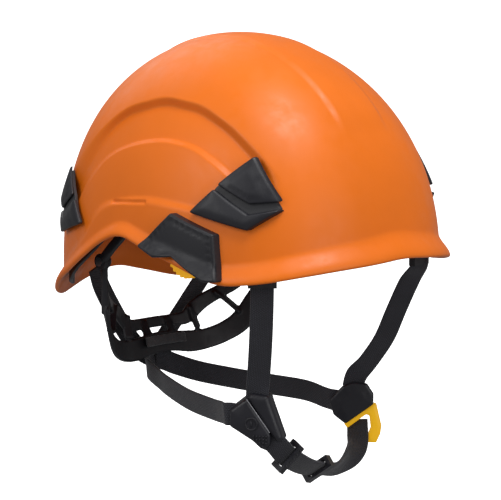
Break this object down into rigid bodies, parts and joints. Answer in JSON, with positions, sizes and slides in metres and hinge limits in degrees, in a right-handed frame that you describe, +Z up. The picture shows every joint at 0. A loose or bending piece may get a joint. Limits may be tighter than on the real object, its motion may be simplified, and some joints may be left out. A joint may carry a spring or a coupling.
{
  "type": "arborist helmet",
  "caption": "Unvented climbing helmet with webbing suspension, folding nape cradle set by side wheels, lamp clips and a four-point chin harness with release buckle",
  "frame": {"origin": "Centre of the head on the centre plane, level with the lowest point of the shell's side rim", "axes": "+Z up through the crown, -Y out of the front brim, -X to the wearer's right"},
  "size_m": [0.239, 0.2782, 0.2976],
  "materials": {
    "shell": "matte moulded orange ABS",
    "trim": "satin black moulded nylon",
    "webbing": "woven black polyester webbing",
    "padding": "black brushed comfort foam cover",
    "wheel": "satin yellow acetal",
    "buckle": "satin bright yellow acetal",
    "pins": "dark steel"
  },
  "bodies": {
    "helmet": {"shell": "shell", "lamp_clip_front_right": "trim", "lamp_clip_front_left": "trim", "lamp_clip_rear_right": "trim", "lamp_clip_rear_left": "trim", "side_cover_right": "trim", "side_cover_left": "trim", "wheel_axle_right": "pins", "wheel_axle_left": "pins", "wheel_bracket_right": "trim", "wheel_bracket_left": "trim", "front_headband": "trim", "brow_pad": "padding", "suspension_clips": "trim", "crown_strap_front": "webbing", "crown_strap_middle": "webbing", "crown_strap_rear": "webbing", "crown_patch": "webbing", "strap_anchor_front_right": "trim", "strap_anchor_front_left": "trim", "strap_anchor_rear_right": "trim", "strap_anchor_rear_left": "trim", "front_strap_right": "webbing", "front_strap_left": "webbing", "rear_strap_upper_right": "webbing", "rear_strap_upper_left": "webbing", "rear_strap_lower_right": "webbing", "rear_strap_lower_left": "webbing", "nape_guide": "trim", "adjuster_base_right": "trim", "adjuster_base_left": "trim", "adjuster_pin_right": "pins", "adjuster_pin_left": "pins", "chin_strap_lower": "webbing", "buckle_body": "trim"},
    "size_carriage": {"rack_arm_right": "trim", "rack_arm_left": "trim", "cradle_pin_right": "pins", "cradle_pin_left": "pins"},
    "cradle": {"nape_cradle": "trim", "nape_pad": "padding"},
    "size_wheel_right": {"thumb_wheel_right": "wheel"},
    "lamp_latch_front_right": {"lamp_tab_front_right": "trim"},
    "lamp_latch_rear_right": {"lamp_tab_rear_right": "trim"},
    "adjuster_lock_right": {"adjuster_flap_right": "trim"},
    "size_wheel_left": {"thumb_wheel_left": "wheel"},
    "lamp_latch_front_left": {"lamp_tab_front_left": "trim"},
    "lamp_latch_rear_left": {"lamp_tab_rear_left": "trim"},
    "adjuster_lock_left": {"adjuster_flap_left": "trim"},
    "slider": {"chin_slider": "trim"},
    "keeper": {"chin_keeper": "trim"},
    "buckle": {"buckle_frame": "buckle", "chin_strap_upper": "webbing"}
  },
  "joints": [
    {"name": "headband_size", "type": "slide", "parent": "helmet", "child": "size_carriage", "axis": [0, -1, 0], "range_m": [0, 0.016]},
    {"name": "cradle_fold", "type": "hinge", "parent": "size_carriage", "child": "cradle", "pos_m": [0, 0.0613, 0.0036], "axis": [-1, 0, 0], "range_deg": [0, 115]},
    {"name": "wheel_turn_right", "type": "hinge", "parent": "helmet", "child": "size_wheel_right", "pos_m": [-0.0965, -0.039, 0.019], "axis": [1, 0, 0], "range_deg": [-1, 116]},
    {"name": "lamp_latch_front_right", "type": "hinge", "parent": "helmet", "child": "lamp_latch_front_right", "pos_m": [-0.0823, -0.0812, 0.079], "axis": [-0.5335, 0.8458, 0], "range_deg": [0, 12], "stiffness_Nm_per_rad": 0.05},
    {"name": "lamp_latch_rear_right", "type": "hinge", "parent": "helmet", "child": "lamp_latch_rear_right", "pos_m": [-0.0873, 0.0864, 0.064], "axis": [0.5269, 0.8499, 0], "range_deg": [0, 12], "stiffness_Nm_per_rad": 0.05},
    {"name": "wheel_turn_left", "type": "hinge", "parent": "helmet", "child": "size_wheel_left", "pos_m": [0.0965, -0.039, 0.019], "axis": [1, 0, 0], "range_deg": [-1, 116]},
    {"name": "lamp_latch_front_left", "type": "hinge", "parent": "helmet", "child": "lamp_latch_front_left", "pos_m": [0.0823, -0.0812, 0.079], "axis": [-0.5335, -0.8458, 0], "range_deg": [0, 12], "stiffness_Nm_per_rad": 0.05},
    {"name": "lamp_latch_rear_left", "type": "hinge", "parent": "helmet", "child": "lamp_latch_rear_left", "pos_m": [0.0873, 0.0864, 0.064], "axis": [0.5269, -0.8499, 0], "range_deg": [0, 12], "stiffness_Nm_per_rad": 0.05},
    {"name": "adjuster_lock_right", "type": "hinge", "parent": "helmet", "child": "adjuster_lock_right", "pos_m": [-0.0761, -0.07044, -0.0736], "axis": [-0.2949, 0.5108, 0.8075], "range_deg": [0, 40]},
    {"name": "adjuster_lock_left", "type": "hinge", "parent": "helmet", "child": "adjuster_lock_left", "pos_m": [0.05331, -0.03832, -0.0898], "axis": [0.4292, -0.5493, -0.717], "range_deg": [0, 40]},
    {"name": "chin_slider_travel", "type": "slide", "parent": "helmet", "child": "slider", "axis": [0.8393, 0.1312, -0.5276], "range_m": [-0.002, 0.003]},
    {"name": "chin_keeper_travel", "type": "slide", "parent": "helmet", "child": "keeper", "axis": [0.9307, 0.2694, -0.2474], "range_m": [-0.006, 0.006]},
    {"name": "buckle_release", "type": "slide", "parent": "helmet", "child": "buckle", "axis": [0.3699, -0.4729, -0.7997], "range_m": [0, 0.014]}
  ],
  "couplings": [
    {"joint": "wheel_turn_right", "follows": "headband_size", "rad_per_m": 125},
    {"joint": "wheel_turn_left", "follows": "headband_size", "rad_per_m": 125}
  ]
}
